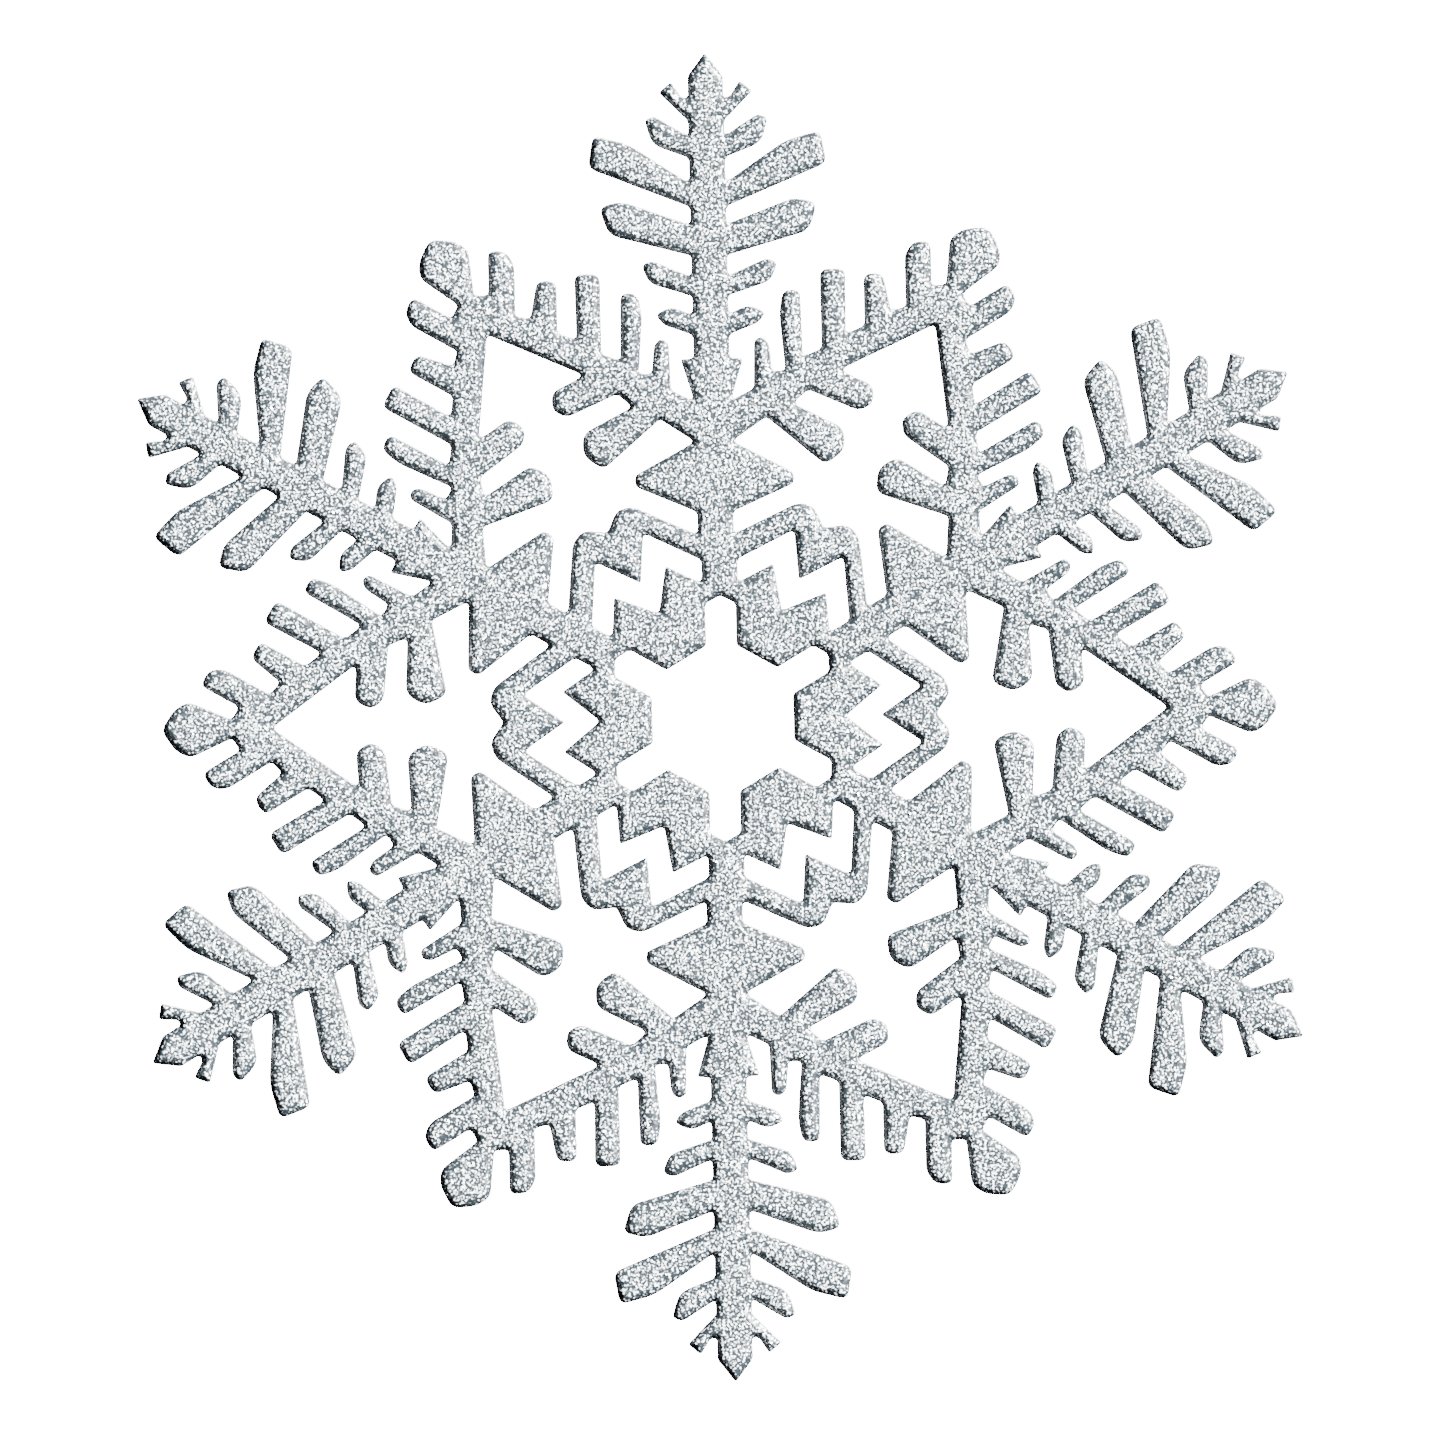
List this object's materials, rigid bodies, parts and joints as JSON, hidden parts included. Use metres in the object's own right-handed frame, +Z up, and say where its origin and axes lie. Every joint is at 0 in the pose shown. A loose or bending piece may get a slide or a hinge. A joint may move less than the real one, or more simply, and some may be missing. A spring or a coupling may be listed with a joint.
{
  "type": "paper snowflake star",
  "caption": "Flat six-armed snowflake star for seasonal display: a die-cut, paper-faced foam board with silver-white glitter over its front and edges, and a plain paper back.",
  "frame": {"origin": "centre of the star, halfway through its thickness, which is the centre of its bounding box", "axes": "+Z up along one arm, +X to the right as seen from the glittered front, +Y out of the plain paper back; the front faces -Y"},
  "size_m": [0.2598, 0.0046, 0.3],
  "materials": {
    "back_paper": "matt, uncoated white",
    "foam": "matt white cut foam",
    "front_paper": "matt, uncoated white, hidden by the glitter",
    "glitter": "sparkling silver-white glitter set in clear glue"
  },
  "bodies": {
    "root": {"back_liner": "back_paper", "foam_core": "foam", "front_liner": "front_paper", "glitter_coat": "glitter"}
  },
  "joints": []
}
